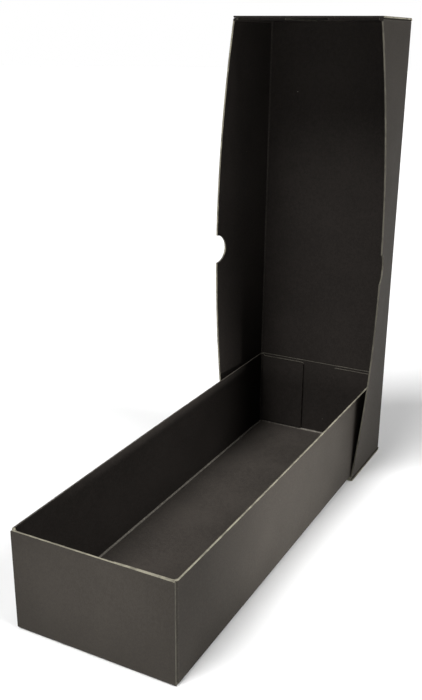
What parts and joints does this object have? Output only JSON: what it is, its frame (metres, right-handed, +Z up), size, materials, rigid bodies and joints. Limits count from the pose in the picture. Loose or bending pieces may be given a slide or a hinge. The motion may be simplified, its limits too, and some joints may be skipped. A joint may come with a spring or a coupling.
{
  "type": "archival box",
  "caption": "Matte charcoal document box: a shallow open tray, and a full-depth lift-off lid stood on end behind it, with bowed long walls and half-round thumb notches.",
  "frame": {"origin": "centre of the footprint of the tray and the standing lid, on the table", "axes": "+Z up; +Y from the tray's front wall to the back of the standing lid; +X to the right, seen from the front"},
  "size_m": [0.1608, 0.4076, 0.412],
  "materials": {
    "board": "matte",
    "glue": "satin"
  },
  "bodies": {
    "tray": {"tray_floor": "board", "tray_front_wall": "board", "tray_rear_wall": "board", "tray_left_wall": "board", "tray_right_wall": "board", "tray_front_left_tab": "board", "tray_front_right_tab": "board", "tray_rear_left_tab": "board", "tray_rear_right_tab": "board", "tray_front_left_glue": "glue", "tray_front_right_glue": "glue", "tray_rear_left_glue": "glue", "tray_rear_right_glue": "glue"},
    "lid": {"lid_top_panel": "board", "lid_lower_end_wall": "board", "lid_upper_end_wall": "board", "lid_left_wall": "board", "lid_right_wall": "board", "lid_lower_left_tab": "board", "lid_lower_right_tab": "board", "lid_upper_left_tab": "board", "lid_upper_right_tab": "board", "lid_lower_left_glue": "glue", "lid_lower_right_glue": "glue", "lid_upper_left_glue": "glue", "lid_upper_right_glue": "glue"}
  },
  "joints": [
    {"name": "lid_slide", "type": "slide", "parent": "tray", "child": "lid", "axis": [0, 1, 0], "range_m": [0, 0.1]}
  ]
}
